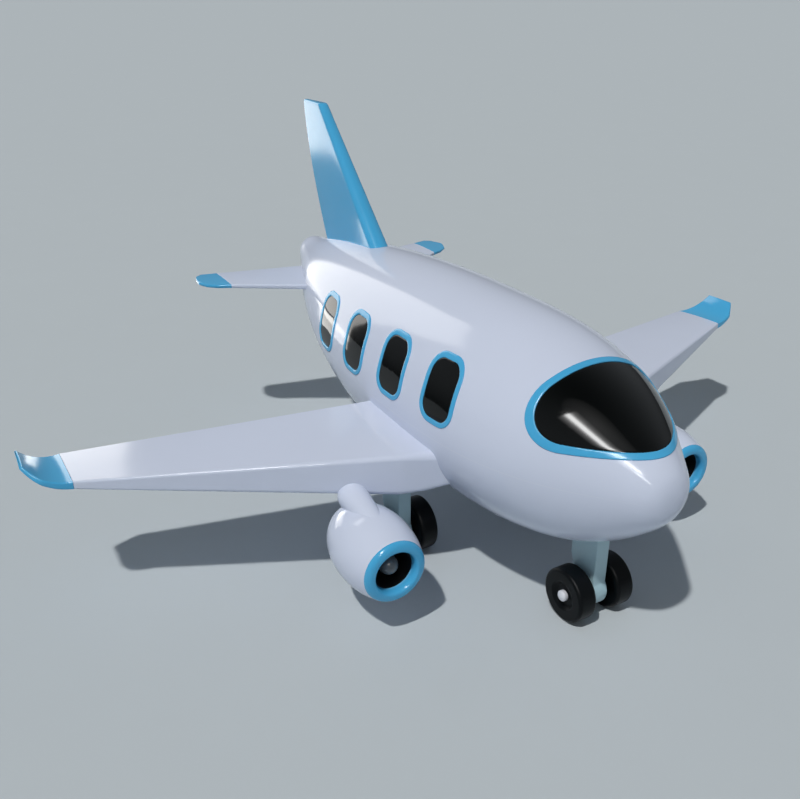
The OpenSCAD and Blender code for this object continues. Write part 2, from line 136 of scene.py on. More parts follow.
# %% The rule, for numbers and for sockets
def below(value, limit):
    if isinstance(value, Value):
        return value.math("LESS_THAN", limit)
    return np.less(value, limit) * 1.0


def at_least_zero(value):
    if isinstance(value, Value):
        return value.math("MAXIMUM", 0.0)
    return np.maximum(value, 0.0)


def along(y):
    ahead = below(y, WIDEST_Y)
    to_nose = (WIDEST_Y - y) / (WIDEST_Y - NOSE_Y)
    to_tail = (y - WIDEST_Y) / (TAIL_Y - WIDEST_Y)
    return at_least_zero(ahead * to_nose + (1 - ahead) * to_tail)


def fullness(y, powers):
    ahead = below(y, WIDEST_Y)
    s = along(y)
    power = ahead * powers[0] + (1 - ahead) * powers[1]
    return at_least_zero(1 - s ** power) ** (1 / (1.2 + 0.8 * s ** 20.0))


def axis_height(y):
    ahead = below(y, WIDEST_Y)
    s = along(y)
    return AXIS_HEIGHT + ahead * 1.7 * s ** 2.48 + (1 - ahead) * 16.4 * s ** 2.05


def skin(y, turn):
    rise = np.where(np.sin(turn) > 0, RISE_ABOVE_AXIS * fullness(y, UPPER_POWERS),
                    DEPTH_BELOW_AXIS * fullness(y, LOWER_POWERS))
    across = HALF_WIDTH * fullness(y, UPPER_POWERS) * np.cos(turn)
    return np.stack([across, y + 0 * turn, axis_height(y) + np.sin(turn) * rise], -1)


def skin_out(y, turn, out):
    y, turn = np.broadcast_arrays(np.asarray(y, float), np.asarray(turn, float))
    step = 0.02
    lengthwise = skin(y + step, turn) - skin(y - step, turn)
    roundwise = skin(y, turn + 0.001) - skin(y, turn - 0.001)
    normal = np.cross(roundwise, lengthwise)
    normal /= np.linalg.norm(normal, axis=-1, keepdims=True)
    return skin(y, turn) - normal * np.asarray(out)[..., None]


def crown(y):
    return axis_height(y) + RISE_ABOVE_AXIS * fullness(y, UPPER_POWERS)


def turn_at(y, z):
    share = (z - axis_height(y)) / (RISE_ABOVE_AXIS * fullness(y, UPPER_POWERS))
    return np.arcsin(np.clip(share, -1, 1))


print("crown height at the widest section:", round(float(crown(WIDEST_Y)), 1), "mm")

# %% [markdown]
# ## Helpers for meshes
# Nearly every piece is a stack of rings: a wing is ribs, a wheel is a profile turned about
# its axle, a window frame is an outline swept round. One function joins the rings with quads
# and closes the ends, and a second one turns a mesh into a piece that rides on its body.


# %% Rings into a mesh
def ring_faces(count, size, wrap=False):
    faces = []
    for i in range(count if wrap else count - 1):
        here = i * size
        there = (i + 1) % count * size
        for j in range(size):
            k = (j + 1) % size
            faces.append((here + j, here + k, there + k, there + j))
    return faces


def mesh_from(name, points, faces):
    mesh = bpy.data.meshes.new(name)
    mesh.from_pydata((np.asarray(points, float).reshape(-1, 3) * MM).tolist(), [], faces)
    work = bmesh.new()
    work.from_mesh(mesh)
    bmesh.ops.remove_doubles(work, verts=work.verts, dist=1e-7)
    bmesh.ops.recalc_face_normals(work, faces=work.faces)
    work.to_mesh(mesh)
    work.free()
    return mesh


def loft(name, rings, wrap=False):
    rings = np.asarray(rings, float)
    count, size = rings.shape[:2]
    faces = ring_faces(count, size, wrap)
    if not wrap:
        faces.append(tuple(range(size)))
        faces.append(tuple((count - 1) * size + j for j in range(size)))
    return mesh_from(name, rings, faces)


# %% A mesh into a piece of the toy
def piece(mesh, slot, nodes, body="airframe", sharp=35, even=True):
    obj = bpy.data.objects.new(mesh.name, mesh)
    bpy.context.scene.collection.objects.link(obj)
    mesh.shade_smooth()
    mesh.set_sharp_from_angle(angle=math.radians(sharp))
    mesh.materials.clear()
    mesh.materials.append(FINISHES[slot])
    if even:
        weights = obj.modifiers.new("even_shading", "WEIGHTED_NORMAL")
        weights.keep_sharp = True
    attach(obj, body)
    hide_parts(*nodes)
    return obj


# %% An outline turned about an axle
def turned(name, profile, centre, axis="x", side=1, steps=96):
    around = [(math.cos(a), math.sin(a)) for a in np.linspace(0, 2 * np.pi, steps, endpoint=False)]
    mid_x, mid_y, mid_z = centre
    rings = []
    for radius, place in profile:
        if axis == "x":
            rings.append([(side * place + mid_x, mid_y + radius * c, mid_z + radius * s) for c, s in around])
        else:
            rings.append([(mid_x + radius * c, place, mid_z + radius * s) for c, s in around])
    closed = profile[0][0] > 0.01
    return mesh_from(name, rings, ring_faces(len(rings), steps, closed))


def arc(centre, radius, start, end, steps, squash=1.0):
    return [(centre[0] + radius * math.cos(a), centre[1] + squash * radius * math.sin(a))
            for a in np.radians(np.linspace(start, end, steps + 1))]


print("mesh helpers ready")

# %% [markdown]
# ## Finishes
# The whole toy is moulded plastic, and what tells one piece from another is its gloss. Glossy
# ABS shows a mould's faint orange-peel, small smudges that change its roughness, and lighter
# rubbed edges. One function layers these: noise on the object's own coordinates for colour and
# roughness, stretched noise for hairline scratches, and Pointiness for the rubbed edges.


# %% One recipe for moulded plastic
def plastic(name, colour, rough, peel=0.05, wear=0.10, wear_colour=(0.9, 0.9, 0.92), tint=0.05,
            metal=0.0, grain=420.0, scratch=0.04, specular=0.5):
    material = bpy.data.materials.new(name)
    material.use_nodes = True
    material.node_tree.nodes.clear()
    graph = Graph(material.node_tree)
    place = graph.add("ShaderNodeTexCoord", output="Object")
    cloud = graph.add("ShaderNodeTexNoise", {"noise_dimensions": "3D"},
                      {"Vector": place, "Scale": 38.0, "Detail": 4.0, "Roughness": 0.6})
    smudge = graph.add("ShaderNodeTexNoise", {},
                       {"Vector": place, "Scale": 130.0, "Detail": 5.0, "Roughness": 0.7})
    fine = graph.add("ShaderNodeTexNoise", {},
                     {"Vector": place, "Scale": grain, "Detail": 3.0, "Roughness": 0.5})
    turned_place = graph.add("ShaderNodeMapping", {}, {"Vector": place, "Rotation": (0.4, 0.9, 0.6),
                                                       "Scale": (90.0, 1400.0, 1400.0)})
    hairs = graph.add("ShaderNodeTexNoise", {}, {"Vector": turned_place, "Scale": 1.0, "Detail": 2.0})
    hairline = graph.add("ShaderNodeMapRange", {"interpolation_type": "SMOOTHSTEP"},
                         {"Value": hairs, "From Min": 0.70, "From Max": 0.78})
    edge = graph.add("ShaderNodeNewGeometry", output="Pointiness")
    rubbed = graph.add("ShaderNodeMapRange", {"interpolation_type": "SMOOTHSTEP"},
                       {"Value": edge, "From Min": 0.53, "From Max": 0.62})
    worn = rubbed * (0.35 + smudge * 1.1) * wear
    dark = tuple(c * (1 - tint) for c in colour) + (1.0,)
    light = tuple(min(1.0, c * (1 + tint)) for c in colour) + (1.0,)
    base = graph.add("ShaderNodeMix", {"data_type": "RGBA"}, {"Factor": cloud, 6: dark, 7: light}, output=2)
    aged = graph.add("ShaderNodeMix", {"data_type": "RGBA"},
                     {"Factor": worn, 6: base, 7: (*wear_colour, 1.0)}, output=2)
    roughness = rough + (smudge - 0.5) * rough * 0.7 + hairline * scratch + worn * 0.15
    height = fine * peel + hairline * -0.02 + cloud * peel * 0.6
    bump = graph.add("ShaderNodeBump", {}, {"Strength": 0.12, "Distance": 0.0004, "Height": height})
    shader = graph.add("ShaderNodeBsdfPrincipled", {}, {
        "Base Color": aged, "Roughness": roughness, "Metallic": metal, "Normal": bump,
        "Specular IOR Level": specular})
    graph.add("ShaderNodeOutputMaterial", {}, {"Surface": shader})
    return material


# %% The finishes by the name of their slot
FINISHES = {
    "white_shell": plastic("white_shell", (0.66, 0.715, 0.86), 0.11, tint=0.02, wear=0.25, specular=0.25),
    "blue_trim": plastic("blue_trim", (0.072, 0.43, 0.75), 0.14, tint=0.05, wear=0.35, specular=0.4,
                         wear_colour=(0.45, 0.72, 0.92)),
    "black_glazing": plastic("black_glazing", (0.0015, 0.002, 0.002), 0.07, peel=0.03, wear=0.05,
                             wear_colour=(0.1, 0.1, 0.11), scratch=0.06, specular=0.36),
    "black_duct": plastic("black_duct", (0.006, 0.007, 0.008), 0.38, wear=0.1,
                          wear_colour=(0.06, 0.06, 0.07)),
    "grey_spinner": plastic("grey_spinner", (0.16, 0.175, 0.19), 0.3, wear=0.2),
    "grey_strut": plastic("grey_strut", (0.41, 0.59, 0.66), 0.34, peel=0.15, wear=0.3,
                          wear_colour=(0.32, 0.4, 0.46)),
    "black_wheel": plastic("black_wheel", (0.002, 0.003, 0.004), 0.4, peel=0.2, wear=0.3,
                           wear_colour=(0.05, 0.06, 0.07), grain=900.0, specular=0.14),
    "cap_plastic": plastic("cap_plastic", (0.74, 0.76, 0.82), 0.2, wear=0.2),
    "steel_rod": plastic("steel_rod", (0.55, 0.56, 0.58), 0.28, metal=1.0, peel=0.1, wear=0.1),
    "screw_steel": plastic("screw_steel", (0.6, 0.6, 0.58), 0.3, metal=1.0, peel=0.2, wear=0.2),
}
print(len(FINISHES), "finishes")

# %% [markdown]
# ## The two shells of the body
# The real body is two mouldings that meet half way up. Each is the same rule over half a turn,
# so a Geometry Nodes tree is the natural tool: a flat grid is bent into the shell by placing
# each of its points. The rows are packed closer towards the seam and the two tips, where the
# surface turns fastest, so the highlights run over the seam without a step.


# %% The tree that bends a grid into a shell
def shell_tree():
    tree = bpy.data.node_groups.new("body_shell", "GeometryNodeTree")
    face = tree.interface
    for name, default in (("Stations", 200), ("Facets", 120)):
        face.new_socket(name, in_out="INPUT", socket_type="NodeSocketInt").default_value = default
    for name, default in (("Half Width", HALF_WIDTH), ("Rise", RISE_ABOVE_AXIS),
                          ("Nose Power", UPPER_POWERS[0]), ("Tail Power", UPPER_POWERS[1])):
        face.new_socket(name, in_out="INPUT", socket_type="NodeSocketFloat").default_value = default
    face.new_socket("Finish", in_out="INPUT", socket_type="NodeSocketMaterial")
    face.new_socket("Shell", in_out="OUTPUT", socket_type="NodeSocketGeometry")
    graph = Graph(tree)
    given = graph.add("NodeGroupInput")
    grid = graph.add("GeometryNodeMeshGrid", {}, {
        "Size X": 1.0, "Size Y": 1.0,
        "Vertices X": given.out("Stations"), "Vertices Y": given.out("Facets")})
    flat = graph.add("GeometryNodeInputPosition")
    parts = graph.add("ShaderNodeSeparateXYZ", {}, {"Vector": flat})
    u = parts.out("X") + 0.5
    v = parts.out("Y") + 0.5
    y = (u * math.pi).math("COSINE") * NOSE_Y
    turn = v * math.pi - (v * (2 * math.pi)).math("SINE") * 0.35
    half = given.out("Half Width") * fullness(y, UPPER_POWERS)
    deep = given.out("Rise") * fullness(y, (given.out("Nose Power"), given.out("Tail Power")))
    spot = graph.add("ShaderNodeCombineXYZ", {}, {
        "X": turn.math("COSINE") * half * MM,
        "Y": y * MM,
        "Z": (axis_height(y) + turn.math("SINE") * deep) * MM})
    bent = graph.add("GeometryNodeSetPosition", {}, {"Geometry": grid, "Position": spot})
    closed = graph.add("GeometryNodeMergeByDistance", {}, {"Geometry": bent, "Distance": 0.000002})
    real = graph.add("GeometryNodeRealizeInstances", {}, {"Geometry": closed})
    done = graph.add("GeometryNodeSetMaterial", {}, {"Geometry": real, "Material": given.out("Finish")})
    graph.add("NodeGroupOutput", {}, {"Shell": done})
    return tree


def plain_mesh(name, obj):
    bpy.context.view_layer.update()
    evaluated = obj.evaluated_get(bpy.context.evaluated_depsgraph_get())
    mesh = bpy.data.meshes.new_from_object(evaluated)
    mesh.name = name
    return mesh


def baked(name, tree, start, inputs):
    carrier = bpy.data.objects.new(name + "_carrier", start)
    bpy.context.scene.collection.objects.link(carrier)
    modifier = carrier.modifiers.new("nodes", "NODES")
    modifier.node_group = tree
    sockets = {item.name: item.identifier for item in tree.interface.items_tree if item.in_out == "INPUT"}
    for key, value in inputs.items():
        modifier[sockets[key]] = value
    mesh = plain_mesh(name, carrier)
    carrier.modifiers.remove(modifier)
    bpy.data.objects.remove(carrier)
    return mesh


# %% Facing outwards, with a wall
def face_outwards(mesh, middle):
    work = bmesh.new()
    work.from_mesh(mesh)
    bmesh.ops.recalc_face_normals(work, faces=work.faces)
    outward = sum((f.calc_center_median() - middle).dot(f.normal) * f.calc_area() for f in work.faces)
    if outward < 0:
        bmesh.ops.reverse_faces(work, faces=work.faces)
    work.to_mesh(mesh)
    work.free()


SHELL = shell_tree()


def shell_mesh(name, rise, powers):
    mesh = baked(name, SHELL, bpy.data.meshes.new("empty"), {
        "Stations": 200, "Facets": 112, "Half Width": HALF_WIDTH, "Rise": rise,
        "Nose Power": powers[0], "Tail Power": powers[1], "Finish": FINISHES["white_shell"]})
    face_outwards(mesh, Vector((0, 0, AXIS_HEIGHT * MM)))
    return mesh


# %% [markdown]
# ## Screw holes in the lower shell
# Four screws close the shells from below, each at the top of a round hole. The holes are cut
# with a Boolean once the shell has its wall, and both modifiers are settled into the mesh, so
# nothing is left to work out later.

# %% Where the screws are
FRONT_SCREWS = (14.0, WIDEST_Y - 44.5)
REAR_SCREWS = (12.0, WIDEST_Y + 63)
SCREW_SPOTS = [(side * x, y) for x, y in (FRONT_SCREWS, REAR_SCREWS) for side in (-1, 1)]
HOLE_R = 3.1
HOLE_FROM = -6
HOLE_TO = 7


def belly(x, y):
    wide = HALF_WIDTH * fullness(y, UPPER_POWERS)
    depth = DEPTH_BELOW_AXIS * fullness(y, LOWER_POWERS) * math.sqrt(1 - (x / wide) ** 2)
    return float(axis_height(y) - depth)


# %% A wall and holes for a shell
def settled(mesh, spots=()):
    obj = bpy.data.objects.new(mesh.name, mesh)
    bpy.context.scene.collection.objects.link(obj)
    wall = obj.modifiers.new("wall", "SOLIDIFY")
    wall.thickness = WALL * MM
    wall.offset = -1
    cutters = []
    for x, y in spots:
        rings = [[(x + HOLE_R * math.cos(t), y + HOLE_R * math.sin(t), belly(x, y) + z)
                  for t in np.linspace(0, 2 * np.pi, 48, endpoint=False)] for z in (HOLE_FROM, HOLE_TO)]
        cutter = bpy.data.objects.new("cutter", loft("cutter", rings))
        bpy.context.scene.collection.objects.link(cutter)
        hole = obj.modifiers.new("hole", "BOOLEAN")
        hole.operation = "DIFFERENCE"
        hole.solver = "EXACT"
        hole.object = cutter
        cutters.append(cutter)
    result = plain_mesh(mesh.name, obj)
    for used in cutters + [obj]:
        bpy.data.objects.remove(used)
    return result


upper = settled(shell_mesh("body_upper", RISE_ABOVE_AXIS, UPPER_POWERS))
lower = settled(shell_mesh("body_lower", -DEPTH_BELOW_AXIS, LOWER_POWERS), SCREW_SPOTS)
for shell, node in ((upper, "upper_shell"), (lower, "lower_shell")):
    piece(shell, "white_shell", [node], sharp=40, even=False)
    print(shell.name, len(shell.polygons), "faces")

# %% [markdown]
# ## Plates and frames that lie on the body
# The windows and the windshield follow the body's curve. Each is an outline in the side view
# that is laid on the rule. A plate is that outline shrunk in steps to its middle, and a frame
# is a small rounded profile swept round it. Both are closed on the inside, a little below the
# skin, so no gap can show from any side.


# %% Outlines of the windows
WINDOW_COUNT = 4
WINDOW_PITCH = 26.0
WINDOW_HALF = (6.25, 8.05)
WINDOW_CORNER = 4.0
WINDOW_LEAN = 0.19
WINDOW_BOW = 0.5
WINDOW_AHEAD = 0.25
FIRST_WINDOW = (NOSE_Y + 65.6, AXIS_HEIGHT + 14.4)
ROW_FALL = 0.044
FRAME_WIDTH = 1.6
FRAME_RISE = 0.36


def rounded_window(grow):
    radius = WINDOW_CORNER + grow
    points = []
    for quarter, (sy, sz) in enumerate(((1, 1), (-1, 1), (-1, -1), (1, -1))):
        middle = (sy * (WINDOW_HALF[0] - WINDOW_CORNER), sz * (WINDOW_HALF[1] - WINDOW_CORNER))
        points += arc(middle, radius, 90 * quarter, 90 * quarter + 90, 9)
    full = []
    for a, b in zip(points, points[1:] + points[:1]):
        steps = max(1, round(math.dist(a, b) / 1.1))
        full += [(a[0] + (b[0] - a[0]) * k / steps, a[1] + (b[1] - a[1]) * k / steps) for k in range(steps)]
    return np.array(full)


def on_body(flat, index, side, out, shrink=1.0):
    centre_y = FIRST_WINDOW[0] + index * WINDOW_PITCH
    centre_z = FIRST_WINDOW[1] - index * WINDOW_PITCH * ROW_FALL
    bow = WINDOW_AHEAD + WINDOW_BOW * (1 - (shrink * flat[:, 1] / WINDOW_HALF[1]) ** 2)
    y = centre_y + shrink * (flat[:, 0] + WINDOW_LEAN * flat[:, 1]) - bow
    z = centre_z + shrink * flat[:, 1]
    points = skin_out(y, turn_at(y, z), np.full(len(y), out))
    return points * (side, 1, 1)


# %% Profiles of a frame and a plate, as (outwards from the pane, above the skin)
def frame_profile(width):
    half = [(0.0, -0.7), (0.0, 0.12), (0.05, 0.24), (0.18, FRAME_RISE - 0.03), (0.45, FRAME_RISE)]
    far = [(width - across, above) for across, above in half[:1:-1]]
    return half + [(width / 2, FRAME_RISE)] + far + [(width, 0.1), (width, -0.7)]


PLATE_RISE = 0.1
PLATE_DEPTH = -0.6
PLATE_EDGE = [(1.0, PLATE_DEPTH), (1.0, 0.02), (0.985, 0.07)]
PLATE_TOP = PLATE_EDGE + [(0.96, 0.09)]
PLATE_TOP += [(shrink, PLATE_RISE) for shrink in (0.85, 0.7, 0.5, 0.3, 0.15, 0.0)]
PLATE_INSIDE = [(shrink, PLATE_DEPTH) for shrink in (0.0, 0.3, 0.6, 0.85)]

# %% The eight windows
for side_name, side in SIDES.items():
    for index in range(WINDOW_COUNT):
        tail = side_name + "_" + str(index + 1)
        rings = [on_body(rounded_window(grow), index, side, out)
                 for grow, out in frame_profile(FRAME_WIDTH)]
        piece(loft("window_frame_" + tail, rings, wrap=True), "blue_trim",
              [side_name + "_window_frame_" + str(index + 1)], sharp=50)
        rings = [on_body(rounded_window(0), index, side, out, shrink)
                 for shrink, out in PLATE_TOP + PLATE_INSIDE]
        pane = mesh_from("window_pane_" + tail, rings, ring_faces(len(rings), len(rings[0]), True))
        piece(pane, "black_glazing", [side_name + "_window_pane_" + str(index + 1)], sharp=50)
print(2 * WINDOW_COUNT, "windows")

# %% [markdown]
# ## The windshield
# The windshield wraps over the nose from one side to the other. Its edge in the side view is
# a sill, a round corner and a leaning back edge, and the edge on the body is found where that
# outline meets the crown. The black plate and the blue bezel are then made like a window.

# %% The windshield's edge on the body
VISOR_CORNER = 11.2
VISOR_SPOT = (NOSE_Y + 23.5, AXIS_HEIGHT + 23.9)
VISOR_ROOF = AXIS_HEIGHT + RISE_ABOVE_AXIS + 3
VISOR_MIDDLE = np.array([-92.0, math.pi / 2])
BEZEL_WIDTH = 2.2


def crossing(height, low, high):
    for _ in range(50):
        middle = (low + high) / 2
        if (height(middle) > 0) == (height(low) > 0):
            low = middle
        else:
            high = middle
    return low


def visor_edge(grow):
    radius = VISOR_CORNER + grow
    front = NOSE_Y - 1
    front_z = VISOR_SPOT[1] - VISOR_CORNER + 0.7 - 0.45 * grow
    corner_z = VISOR_SPOT[1] - radius

    def sill(y):
        return front_z + (corner_z - front_z) * (y - front) / (VISOR_SPOT[0] - front)

    def back(share):
        return VISOR_SPOT[0] + radius - 2.6 * share, VISOR_SPOT[1] + (VISOR_ROOF - VISOR_SPOT[1]) * share

    first = crossing(lambda y: crown(y) - sill(y), NOSE_Y + 0.01, VISOR_SPOT[0])
    last = crossing(lambda share: crown(back(share)[0]) - back(share)[1], 0.0, 1.0)
    steps = np.linspace(0, 1, 41)
    y_sill = first + (VISOR_SPOT[0] - first) * steps ** 2
    side_view = list(zip(y_sill, sill(y_sill)))
    side_view += arc(VISOR_SPOT, radius, -90, 0, 16)[1:]
    side_view += [back(last * (1 - (1 - t) ** 2)) for t in np.linspace(0, 1, 25)[1:]]
    y, z = np.array(side_view).T
    turn = turn_at(y, z)
    turn[0] = turn[-1] = math.pi / 2
    left = np.stack([y, turn], -1)
    right = np.stack([y, math.pi - turn], -1)[::-1][1:-1]
    return np.concatenate([left, right])


def on_nose(edge, out, shrink=1.0):
    spot = VISOR_MIDDLE + (edge - VISOR_MIDDLE) * shrink
    return skin_out(spot[:, 0], spot[:, 1], np.full(len(spot), out))


# %% The windshield and its bezel
PANE_EDGE = visor_edge(0)
plate = PLATE_EDGE + [(1 - k / 24, PLATE_RISE) for k in range(1, 25)] + PLATE_INSIDE
rings = [on_nose(PANE_EDGE, out, shrink) for shrink, out in plate]
visor = mesh_from("windshield_pane", rings, ring_faces(len(rings), len(PANE_EDGE), True))
piece(visor, "black_glazing", ["windshield"], sharp=60)
rings = [on_nose(visor_edge(grow), out) for grow, out in frame_profile(BEZEL_WIDTH)]
piece(loft("windshield_frame", rings, wrap=True), "blue_trim", ["windshield_bezel"], sharp=60)
print("windshield edge:", len(PANE_EDGE), "points")

# %% [markdown]
# ## Wings, winglets and stabilizers
# A wing is a row of ribs: a rounded front, a nearly flat top, a thin blunt trailing edge. The
# sizes of the ribs change in straight lines between a few stations, which is how a mould for
# such a wing is cut. Every end gets a small round-over, so the joint between white and blue
# catches a thin line of light as it does between two real mouldings.


# %% A value between two stations
def between(x, stations):
    return float(np.interp(x, [s[0] for s in stations], [s[1] for s in stations]))


def curve_through(start, middle, end, steps):
    share = (middle[0] - start[0]) / (end[0] - start[0])
    straight = start[1] + (end[1] - start[1]) * share
    bulge = (middle[1] - straight) / (4 * share * (1 - share))
    return [(start[0] + (end[0] - start[0]) * t,
             start[1] + (end[1] - start[1]) * t + bulge * 4 * t * (1 - t))
            for t in np.linspace(0, 1, steps + 1)]


# %% A rib and its round-over
CAMBER = 0.2


def rib(front, back, top_front, top_back, low, nose_round, steps=10):
    chord = back - front
    thick = top_front - low
    r_low = min(thick - nose_round, 0.6 + 0.1 * thick)
    edge = 0.5 + 0.02 * chord
    mid_y = front + 0.55 * chord
    points = curve_through((front + nose_round, top_front), (mid_y, (top_front + top_back) / 2 + CAMBER),
                           (back - 0.4, top_back), steps)
    points += arc((back - 0.45, top_back - edge / 2), edge / 2, 75, -75, 6)
    points += curve_through((back - 0.4, top_back - edge), (mid_y, low + 0.28 * (top_back - low)),
                            (front + r_low, low), steps)
    points += arc((front + r_low, low + r_low), r_low, 270, 180, 10)[1:]
    points += arc((front + nose_round, top_front - nose_round), nose_round, 180, 90, 10)[:-1]
    return np.array(points)


def inset(ring, amount):
    ahead = np.roll(ring, -1, 0) - np.roll(ring, 1, 0)
    inward = np.stack([ahead[:, 1], -ahead[:, 0]], -1)
    length = np.linalg.norm(inward, axis=1, keepdims=True)
    return ring + amount * inward / np.maximum(length, 1e-9)


def rounded_ends(rib_at, places, size, both=True):
    ease = [(size * (1 - math.sin(a)), size * (1 - math.cos(a))) for a in np.radians((0, 30, 60, 90))]
    rings = []
    if both:
        for back_off, shrink in ease[::-1]:
            rings.append((places[0] + back_off, inset(rib_at(places[0]), shrink)))
    rings += [(place, rib_at(place)) for place in (places[1:-1] if both else places[:-1])]
    for back_off, shrink in ease:
        rings.append((places[-1] - back_off, inset(rib_at(places[-1]), shrink)))
    return rings


# %% The wings
WING_REACH = 131.2
ROOT_X = 24.0
BEND_X = 44.0
WING_TIP_FRONT = WIDEST_Y + 5.15
WING_TIP_BACK = WIDEST_Y + 27.2
WING_TIP_Z = AXIS_HEIGHT - 5.9


def wing_rib(x):
    front = between(x, [(ROOT_X, WIDEST_Y - 37.2), (BEND_X, WIDEST_Y - 31.5), (WING_REACH, WING_TIP_FRONT)])
    back = between(x, [(ROOT_X, WIDEST_Y + 2.5), (WING_REACH, WING_TIP_BACK)])
    top_front = between(x, [(ROOT_X, AXIS_HEIGHT - 4.4), (BEND_X, AXIS_HEIGHT - 4.2),
                            (WING_REACH, WING_TIP_Z)])
    top_back = between(x, [(ROOT_X, AXIS_HEIGHT - 2.1), (WING_REACH, AXIS_HEIGHT - 7)])
    low = between(x, [(ROOT_X, AXIS_HEIGHT - 15.8), (36, AXIS_HEIGHT - 17.8), (BEND_X, AXIS_HEIGHT - 18),
                      (WING_REACH, AXIS_HEIGHT - 8.6)])
    nose_round = between(x, [(ROOT_X, 4.0), (BEND_X, 1.6), (WING_REACH, 0.6)])
    return rib(front, back, top_front, top_back, low, nose_round)


def blade(name, rings, side):
    points = [[(side * x, y, z) for y, z in ring] for x, ring in rings]
    return loft(name, points)


wing_places = list(np.linspace(ROOT_X, BEND_X, 11)) + list(np.linspace(BEND_X, WING_REACH, 13)[1:])
for side_name, side in SIDES.items():
    rings = rounded_ends(wing_rib, wing_places, 0.15, both=False)
    piece(blade("wing_" + side_name, rings, side), "white_shell", [side_name + "_wing"], sharp=30)
print("wing span to the winglets:", 2 * WING_REACH, "mm")

# %% The winglets, bent upwards along an arc
WINGLET_R = 14.0
WINGLET_BEND = 55.0
THIN_NOSE = 0.5


def winglet_rib(angle):
    t = angle / WINGLET_BEND
    front = between(t, [(0, WING_TIP_FRONT), (0.6, WIDEST_Y + 6.8), (1, WIDEST_Y + 10.6)])
    back = between(t, [(0, WING_TIP_BACK), (1, WIDEST_Y + 22.4)])
    top_front = between(t, [(0, 0), (1, -0.6)])
    top_back = between(t, [(0, -1.1), (1, -0.6)])
    low = between(t, [(0, -2.7), (1, -1.7)])
    return rib(front, back, top_front, top_back, low, THIN_NOSE)


for side_name, side in SIDES.items():
    rounded = rounded_ends(winglet_rib, list(np.linspace(0, WINGLET_BEND, 22)), 0.45)
    points = []
    for angle, ring in rounded:
        a = math.radians(angle)
        points.append([(side * (WING_REACH + (WINGLET_R - z) * math.sin(a)), y,
                        WING_TIP_Z + WINGLET_R - (WINGLET_R - z) * math.cos(a)) for y, z in ring])
    piece(loft("winglet_up_" + side_name, points), "blue_trim", [side_name + "_winglet"], sharp=30)

# %% The stabilizers and their tips
STAB_REACH = 48.0
STAB_TIP = STAB_REACH + 10.5
STAB_ROOT = 12.0
STAB_Z = AXIS_HEIGHT + 13.8


def stab_rib(x):
    front = between(x, [(STAB_ROOT, WIDEST_Y + 77.3), (STAB_REACH, WIDEST_Y + 98.2),
                        (STAB_REACH + 5, WIDEST_Y + 100.2), (STAB_REACH + 8.5, WIDEST_Y + 103),
                        (STAB_TIP, WIDEST_Y + 107.5)])
    back = between(x, [(STAB_ROOT, WIDEST_Y + 108.9), (STAB_REACH, WIDEST_Y + 116.6),
                       (STAB_REACH + 6.5, WIDEST_Y + 118), (STAB_REACH + 9, WIDEST_Y + 116),
                       (STAB_TIP, WIDEST_Y + 111.5)])
    low = STAB_Z - between(x, [(STAB_ROOT, 2.2), (STAB_REACH, 1.6), (STAB_TIP, 1.2)])
    return rib(front, back, STAB_Z, STAB_Z, low, THIN_NOSE, 6)


for side_name, side in SIDES.items():
    rings = rounded_ends(stab_rib, list(np.linspace(STAB_ROOT, STAB_REACH, 9)), 0.12, both=False)
    piece(blade("stabilizer_" + side_name, rings, side), "white_shell",
          [side_name + "_stabilizer"], sharp=30)
    tip_places = [STAB_REACH + x for x in (0, 1.5, 3, 4, 5, 5.8, 6.5, 7.2, 7.8, 8.4, 9, 9.5, 10, 10.3, 10.5)]
    rings = rounded_ends(stab_rib, tip_places, 0.12)
    piece(blade("stabilizer_end_" + side_name, rings, side), "blue_trim",
          [side_name + "_stabilizer_tip"], sharp=30)
print("winglets and stabilizers on both sides")

# %% [markdown]
# ## The tail fin
# The fin is a stack of level rings with a round front that leans back and a blunt rear edge
# that sweeps down along a curve. The last rings shrink quickly, which rounds the top edge.


# %% The fin
FIN_ROOT = AXIS_HEIGHT + 18.8
FIN_TOP = 131.0
FIN_ROUND = 0.9
FIN_LOW = AXIS_HEIGHT + 28.8
FIN_HIGH = AXIS_HEIGHT + 79.8


def fin_ring(z, shrink=0.0):
    half = between(z, [(FIN_LOW, 4.0), (FIN_HIGH, 2.1)]) - shrink
    front = WIDEST_Y + 56.7 + 0.99 * (z - AXIS_HEIGHT - 28.8) + shrink
    back = WIDEST_Y + 125.6 - 0.0445 * max(0.0, FIN_HIGH - z) ** 1.5 - shrink
    rear = max(0.2, 0.9 - shrink * 0.5)
    nose = [(x, front + half + (y if y < 0 else 0)) for x, y in arc((0, 0), half, 0, -180, 24)]
    sides = [(half + (rear - half) * t ** 1.3, front + half + (back - 0.5 - front - half) * t)
             for t in np.linspace(0, 1, 10)]
    right = [(-x, y) for x, y in sides[1:]]
    tail = [(x, back - 0.5 + 0.5 * math.sin(a)) for x, a in
            ((rear * math.cos(b), b) for b in np.radians(np.linspace(180, 0, 9)))]
    ring = nose[1:-1] + [(-half, front + half)] + right + tail[1:-1] + sides[::-1]
    return [(x, y, z) for x, y in ring]


levels = [(z, 0.0) for z in np.linspace(FIN_ROOT, FIN_TOP - FIN_ROUND, 26)]
levels += [(FIN_TOP - FIN_ROUND + FIN_ROUND * math.sin(a), FIN_ROUND * (1 - math.cos(a)))
           for a in np.radians((20, 40, 60, 78, 90))]
fin_rings = [fin_ring(z, shrink) for z, shrink in levels]
piece(loft("fin", fin_rings), "blue_trim", ["tail_fin"], sharp=32)
print("fin with", len(fin_rings), "levels")

